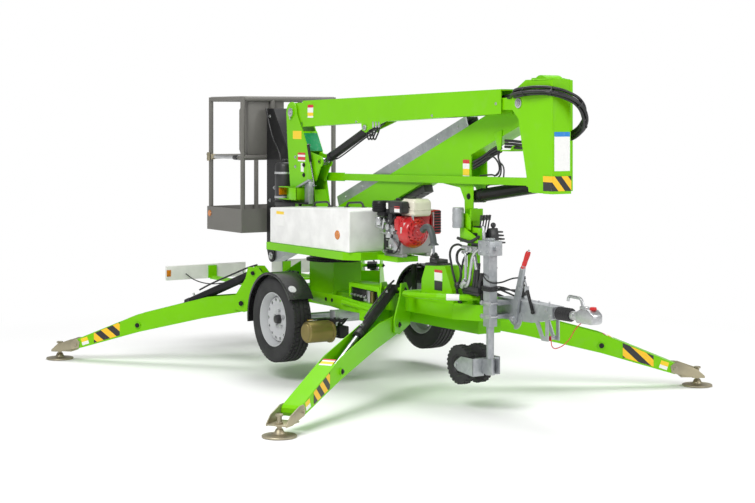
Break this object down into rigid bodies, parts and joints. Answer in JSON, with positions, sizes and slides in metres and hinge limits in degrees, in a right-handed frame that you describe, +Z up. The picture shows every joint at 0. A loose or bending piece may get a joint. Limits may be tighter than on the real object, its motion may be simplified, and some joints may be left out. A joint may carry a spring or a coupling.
{
  "type": "towable_boom_lift",
  "caption": "Lime-green towable articulated boom lift, set up on its outriggers, with petrol power pack, telescopic upper boom and grey work cage",
  "frame": {"origin": "the middle of the machine's plan bounding box, at the ground under the outrigger feet", "axes": "+X along the trailer to the towing coupling, +Y to the machine's left side, +Z up"},
  "size_m": [4.52, 3.3872, 2.042],
  "materials": {
    "green_paint": "lime-green gloss paint",
    "grey_paint": "mid-grey powder coat",
    "white_shell": "moulded off-white shell",
    "galvanised": "hot-dip galvanised",
    "yellow_zinc": "yellow passivated zinc",
    "rim_silver": "silver wheel paint",
    "black_rubber": "black rubber",
    "black_paint": "satin black",
    "chrome_rod": "hard chrome",
    "red_shroud": "red moulded plastic",
    "cream_tank": "cream moulded plastic"
  },
  "bodies": {
    "chassis": {"chassis_frame": "green_paint", "axle_beam": "galvanised", "mudguard_right": "black_rubber", "mudguard_left": "black_rubber", "traction_motor": "yellow_zinc", "drawbar": "galvanised", "overrun_bellows": "black_rubber", "coupling_head": "galvanised", "jockey_mast": "galvanised", "outrigger_valves": "black_paint", "light_board": "white_shell"},
    "wheel_right": {"tyre_right": "black_rubber", "rim_right": "rim_silver"},
    "wheel_left": {"tyre_left": "black_rubber", "rim_left": "rim_silver"},
    "handbrake": {"handbrake_lever": "galvanised"},
    "jockey_tube": {"jockey_tube": "galvanised"},
    "jockey_fork": {"jockey_fork": "galvanised"},
    "jockey_wheels": {"jockey_wheels": "black_rubber"},
    "turntable": {"slew_ring": "black_paint", "turntable_deck": "green_paint", "column": "green_paint", "cover_right": "white_shell", "cover_left": "white_shell", "engine": "black_paint", "engine_shroud": "red_shroud", "fuel_tank": "cream_tank", "hydraulic_tank": "black_paint"},
    "boom_1": {"boom_1": "green_paint"},
    "tie_rod": {"tie_rod": "green_paint"},
    "knuckle": {"knuckle": "green_paint"},
    "boom_2": {"boom_2": "green_paint", "boom_tray": "galvanised", "cable_chain": "black_paint"},
    "section": {"telescopic_section": "galvanised"},
    "cage": {"cage_pan": "grey_paint", "cage_frame": "grey_paint", "cage_console": "grey_paint", "cage_arm": "black_paint"},
    "cage_gate": {"cage_gate": "galvanised"},
    "lift_ram_1": {"lift_ram_1": "black_paint"},
    "lift_rod_1": {"lift_rod_1": "chrome_rod"},
    "lift_ram_2": {"lift_ram_2": "black_paint"},
    "lift_rod_2": {"lift_rod_2": "chrome_rod"},
    "leg_front_right": {"leg_front_right": "green_paint", "foot_front_right": "yellow_zinc"},
    "leg_ram_front_right": {"leg_ram_front_right": "black_paint"},
    "leg_rod_front_right": {"leg_rod_front_right": "chrome_rod"},
    "leg_front_left": {"leg_front_left": "green_paint", "foot_front_left": "yellow_zinc"},
    "leg_ram_front_left": {"leg_ram_front_left": "black_paint"},
    "leg_rod_front_left": {"leg_rod_front_left": "chrome_rod"},
    "leg_rear_right": {"leg_rear_right": "green_paint", "foot_rear_right": "yellow_zinc"},
    "leg_ram_rear_right": {"leg_ram_rear_right": "black_paint"},
    "leg_rod_rear_right": {"leg_rod_rear_right": "chrome_rod"},
    "leg_rear_left": {"leg_rear_left": "green_paint", "foot_rear_left": "yellow_zinc"},
    "leg_ram_rear_left": {"leg_ram_rear_left": "black_paint"},
    "leg_rod_rear_left": {"leg_rod_rear_left": "chrome_rod"}
  },
  "joints": [
    {"name": "slew", "type": "hinge", "parent": "chassis", "child": "turntable", "pos_m": [-0.618, 0, 0.764], "axis": [0, 0, 1], "range_deg": [-177.5, 177.5]},
    {"name": "boom_1_lift", "type": "hinge", "parent": "turntable", "child": "boom_1", "pos_m": [-1.024, -0.07, 1.827], "axis": [0, -1, 0], "range_deg": [0, 70]},
    {"name": "tie_rod_swing", "type": "hinge", "parent": "turntable", "child": "tie_rod", "pos_m": [-0.844, 0.005, 1.36], "axis": [0, -1, 0], "range_deg": [0, 70]},
    {"name": "knuckle_level", "type": "hinge", "parent": "boom_1", "child": "knuckle", "pos_m": [1.708, -0.07, 1.873], "axis": [0, -1, 0], "range_deg": [-70, 0]},
    {"name": "boom_2_lift", "type": "hinge", "parent": "knuckle", "child": "boom_2", "pos_m": [1.715, 0.085, 1.97], "axis": [0, 1, 0], "range_deg": [0, 78]},
    {"name": "telescope", "type": "slide", "parent": "boom_2", "child": "section", "axis": [-0.9391, 0, -0.3437], "range_m": [0, 1.85]},
    {"name": "cage_level", "type": "hinge", "parent": "section", "child": "cage", "pos_m": [-1.605, 0.085, 0.723], "axis": [0, 1, 0], "range_deg": [-78, 0]},
    {"name": "cage_gate_lift", "type": "hinge", "parent": "cage", "child": "cage_gate", "pos_m": [-1.7483, -0.1767, 1.48], "axis": [0, 1, 0], "range_deg": [0, 55]},
    {"name": "lift_ram_1_swing", "type": "hinge", "parent": "boom_1", "child": "lift_ram_1", "pos_m": [-0.025, -0.07, 1.72], "axis": [0, -1, 0], "range_deg": [-4.62, 0]},
    {"name": "lift_rod_1_slide", "type": "slide", "parent": "lift_ram_1", "child": "lift_rod_1", "axis": [-0.9295, 0, -0.3688], "range_m": [0, 0.593]},
    {"name": "lift_ram_2_swing", "type": "hinge", "parent": "boom_2", "child": "lift_ram_2", "pos_m": [0.975, 0.085, 1.285], "axis": [0, 1, 0], "range_deg": [-18.44, 0]},
    {"name": "lift_rod_2_slide", "type": "slide", "parent": "lift_ram_2", "child": "lift_rod_2", "axis": [0.9907, 0, 0.1361], "range_m": [0, 0.644]},
    {"name": "leg_front_right_lift", "type": "hinge", "parent": "chassis", "child": "leg_front_right", "pos_m": [0.634, -0.365, 0.463], "axis": [-0.8462, -0.5329, 0], "range_deg": [0, 90]},
    {"name": "leg_ram_front_right_swing", "type": "hinge", "parent": "chassis", "child": "leg_ram_front_right", "pos_m": [0.58711, -0.29054, 0.681], "axis": [-0.8462, -0.5329, 0], "range_deg": [0, 89.6]},
    {"name": "leg_rod_front_right_slide", "type": "slide", "parent": "leg_ram_front_right", "child": "leg_rod_front_right", "axis": [0.4855, -0.771, -0.4121], "range_m": [-0.334, 0]},
    {"name": "leg_front_left_lift", "type": "hinge", "parent": "chassis", "child": "leg_front_left", "pos_m": [0.634, 0.365, 0.463], "axis": [0.8462, -0.5329, 0], "range_deg": [0, 90]},
    {"name": "leg_ram_front_left_swing", "type": "hinge", "parent": "chassis", "child": "leg_ram_front_left", "pos_m": [0.58711, 0.29054, 0.681], "axis": [0.8462, -0.5329, 0], "range_deg": [0, 89.6]},
    {"name": "leg_rod_front_left_slide", "type": "slide", "parent": "leg_ram_front_left", "child": "leg_rod_front_left", "axis": [0.4855, 0.771, -0.4121], "range_m": [-0.334, 0]},
    {"name": "leg_rear_right_lift", "type": "hinge", "parent": "chassis", "child": "leg_rear_right", "pos_m": [-0.959, -0.552, 0.463], "axis": [-0.6743, 0.7385, 0], "range_deg": [0, 90]},
    {"name": "leg_ram_rear_right_swing", "type": "hinge", "parent": "chassis", "child": "leg_ram_rear_right", "pos_m": [-0.89402, -0.49266, 0.681], "axis": [-0.6743, 0.7385, 0], "range_deg": [0, 89.6]},
    {"name": "leg_rod_rear_right_slide", "type": "slide", "parent": "leg_ram_rear_right", "child": "leg_rod_rear_right", "axis": [-0.6728, -0.6144, -0.4121], "range_m": [-0.334, 0]},
    {"name": "leg_rear_left_lift", "type": "hinge", "parent": "chassis", "child": "leg_rear_left", "pos_m": [-0.959, 0.552, 0.463], "axis": [0.6743, 0.7385, 0], "range_deg": [0, 90]},
    {"name": "leg_ram_rear_left_swing", "type": "hinge", "parent": "chassis", "child": "leg_ram_rear_left", "pos_m": [-0.89402, 0.49266, 0.681], "axis": [0.6743, 0.7385, 0], "range_deg": [0, 89.6]},
    {"name": "leg_rod_rear_left_slide", "type": "slide", "parent": "leg_ram_rear_left", "child": "leg_rod_rear_left", "axis": [-0.6728, 0.6144, -0.4121], "range_m": [-0.334, 0]},
    {"name": "wheel_right_spin", "type": "hinge", "parent": "chassis", "child": "wheel_right", "pos_m": [-0.325, -0.605, 0.413], "axis": [0, 1, 0], "continuous": true},
    {"name": "wheel_left_spin", "type": "hinge", "parent": "chassis", "child": "wheel_left", "pos_m": [-0.325, 0.605, 0.413], "axis": [0, 1, 0], "continuous": true},
    {"name": "jockey_lift", "type": "slide", "parent": "chassis", "child": "jockey_tube", "axis": [0, 0, -1], "range_m": [0, 0.14]},
    {"name": "jockey_swivel", "type": "hinge", "parent": "jockey_tube", "child": "jockey_fork", "pos_m": [1.457, -0.162, 0.33], "axis": [0, 0, 1], "continuous": true},
    {"name": "jockey_roll", "type": "hinge", "parent": "jockey_fork", "child": "jockey_wheels", "pos_m": [1.25, -0.162, 0.2735], "axis": [0, 1, 0], "continuous": true},
    {"name": "handbrake_pull", "type": "hinge", "parent": "chassis", "child": "handbrake", "pos_m": [1.555, -0.059, 0.575], "axis": [0, 1, 0], "range_deg": [0, 50]}
  ],
  "couplings": [
    {"joint": "tie_rod_swing", "follows": "boom_1_lift", "ratio": 1},
    {"joint": "knuckle_level", "follows": "boom_1_lift", "ratio": -1},
    {"joint": "cage_level", "follows": "boom_2_lift", "ratio": -1},
    {"joint": "lift_ram_1_swing", "follows": "boom_1_lift", "ratio": -0.0647},
    {"joint": "lift_rod_1_slide", "follows": "boom_1_lift", "m_per_rad": 0.4827},
    {"joint": "lift_ram_2_swing", "follows": "boom_2_lift", "ratio": -0.2318},
    {"joint": "lift_rod_2_slide", "follows": "boom_2_lift", "m_per_rad": 0.4704},
    {"joint": "leg_ram_front_right_swing", "follows": "leg_front_right_lift", "ratio": 0.9924},
    {"joint": "leg_rod_front_right_slide", "follows": "leg_front_right_lift", "m_per_rad": -0.2116},
    {"joint": "leg_ram_front_left_swing", "follows": "leg_front_left_lift", "ratio": 0.9924},
    {"joint": "leg_rod_front_left_slide", "follows": "leg_front_left_lift", "m_per_rad": -0.2116},
    {"joint": "leg_ram_rear_right_swing", "follows": "leg_rear_right_lift", "ratio": 0.9924},
    {"joint": "leg_rod_rear_right_slide", "follows": "leg_rear_right_lift", "m_per_rad": -0.2116},
    {"joint": "leg_ram_rear_left_swing", "follows": "leg_rear_left_lift", "ratio": 0.9924},
    {"joint": "leg_rod_rear_left_slide", "follows": "leg_rear_left_lift", "m_per_rad": -0.2116}
  ]
}
